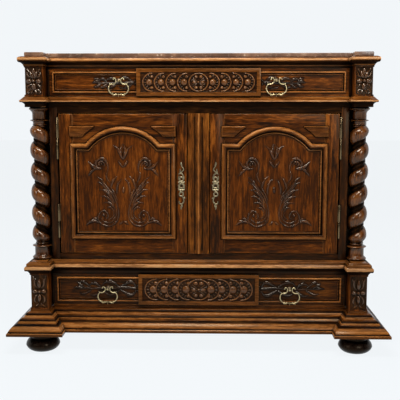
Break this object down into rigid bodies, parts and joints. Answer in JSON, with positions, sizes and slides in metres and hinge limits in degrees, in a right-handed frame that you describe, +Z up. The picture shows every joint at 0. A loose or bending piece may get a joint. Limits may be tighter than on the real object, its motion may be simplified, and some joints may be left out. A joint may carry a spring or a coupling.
{
  "type": "marble-top cabinet",
  "caption": "Carved walnut cabinet with a marble top, twisted corner columns, arched doors, drawers above and below, a flared plinth and bun feet.",
  "frame": {"origin": "centre of the footprint at the floor", "axes": "+X to the viewer's right, -Y towards the front with the doors, +Z up"},
  "size_m": [1.396, 0.54, 1.1],
  "materials": {
    "walnut": "waxed, medium to dark brown",
    "polished_walnut": "waxed, rubbed brighter on the edges",
    "dark_walnut": "waxed, nearly black",
    "inner_wood": "plain planed wood",
    "marble": "polished brown marble with pale flecks",
    "brass": "aged brass",
    "iron": "dull iron"
  },
  "bodies": {
    "cabinet": {"marble_top": "marble", "top_board": "inner_wood", "cornice_lengths": "polished_walnut", "cornice_caps": "polished_walnut", "upper_left_block": "walnut", "upper_right_block": "walnut", "waist_lengths": "polished_walnut", "waist_caps": "polished_walnut", "left_column": "polished_walnut", "right_column": "polished_walnut", "sill_lengths": "polished_walnut", "sill_caps": "polished_walnut", "lower_left_block": "walnut", "lower_right_block": "walnut", "plinth_lengths": "walnut", "plinth_left_corner": "walnut", "plinth_right_corner": "walnut", "front_left_foot": "dark_walnut", "front_right_foot": "dark_walnut", "rear_feet": "dark_walnut", "corner_posts": "walnut", "left_side_panel": "walnut", "right_side_panel": "walnut", "back_boards": "inner_wood", "cupboard_floor": "inner_wood", "drawer_dust_board": "inner_wood", "base_board": "walnut", "shelf": "inner_wood", "shelf_cleats": "inner_wood", "face_frame": "walnut", "centre_muntin": "walnut", "drawer_guides": "inner_wood", "hinge_pins": "brass"},
    "left_door": {"left_door_frame": "walnut", "left_door_panel": "walnut", "left_door_moulding": "polished_walnut", "left_door_hinges": "brass", "left_escutcheon": "brass", "left_lock_case": "iron"},
    "right_door": {"right_door_frame": "walnut", "right_door_panel": "walnut", "right_door_moulding": "polished_walnut", "right_door_hinges": "brass", "right_escutcheon": "brass", "right_lock_case": "iron"},
    "left_bolt": {"left_lock_bolt": "brass"},
    "right_bolt": {"right_lock_bolt": "brass"},
    "upper_drawer": {"upper_drawer_front": "walnut", "upper_drawer_box": "inner_wood", "upper_carved_panel": "polished_walnut", "upper_pull_posts": "brass"},
    "lower_drawer": {"lower_drawer_front": "walnut", "lower_drawer_box": "inner_wood", "lower_carved_panel": "polished_walnut", "lower_pull_posts": "brass"},
    "upper_left_handle": {"upper_left_bail": "brass"},
    "upper_right_handle": {"upper_right_bail": "brass"},
    "lower_left_handle": {"lower_left_bail": "brass"},
    "lower_right_handle": {"lower_right_bail": "brass"}
  },
  "joints": [
    {"name": "left_door_hinge", "type": "hinge", "parent": "cabinet", "child": "left_door", "pos_m": [-0.521, -0.1436, 0.62], "axis": [0, 0, -1], "range_deg": [0, 110]},
    {"name": "right_door_hinge", "type": "hinge", "parent": "cabinet", "child": "right_door", "pos_m": [0.521, -0.1436, 0.62], "axis": [0, 0, 1], "range_deg": [0, 110]},
    {"name": "left_bolt_slide", "type": "slide", "parent": "left_door", "child": "left_bolt", "axis": [1, 0, 0], "range_m": [0, 0.009]},
    {"name": "right_bolt_slide", "type": "slide", "parent": "right_door", "child": "right_bolt", "axis": [-1, 0, 0], "range_m": [0, 0.009]},
    {"name": "upper_drawer_slide", "type": "slide", "parent": "cabinet", "child": "upper_drawer", "axis": [0, -1, 0], "range_m": [0, 0.3]},
    {"name": "lower_drawer_slide", "type": "slide", "parent": "cabinet", "child": "lower_drawer", "axis": [0, -1, 0], "range_m": [0, 0.3]},
    {"name": "upper_left_handle_swing", "type": "hinge", "parent": "upper_drawer", "child": "upper_left_handle", "pos_m": [-0.2905, -0.155, 1], "axis": [-1, 0, 0], "range_deg": [0, 100]},
    {"name": "upper_right_handle_swing", "type": "hinge", "parent": "upper_drawer", "child": "upper_right_handle", "pos_m": [0.2825, -0.155, 1], "axis": [-1, 0, 0], "range_deg": [0, 100]},
    {"name": "lower_left_handle_swing", "type": "hinge", "parent": "lower_drawer", "child": "lower_left_handle", "pos_m": [-0.342, -0.155, 0.22575], "axis": [-1, 0, 0], "range_deg": [0, 100]},
    {"name": "lower_right_handle_swing", "type": "hinge", "parent": "lower_drawer", "child": "lower_right_handle", "pos_m": [0.342, -0.155, 0.22575], "axis": [-1, 0, 0], "range_deg": [0, 100]}
  ]
}
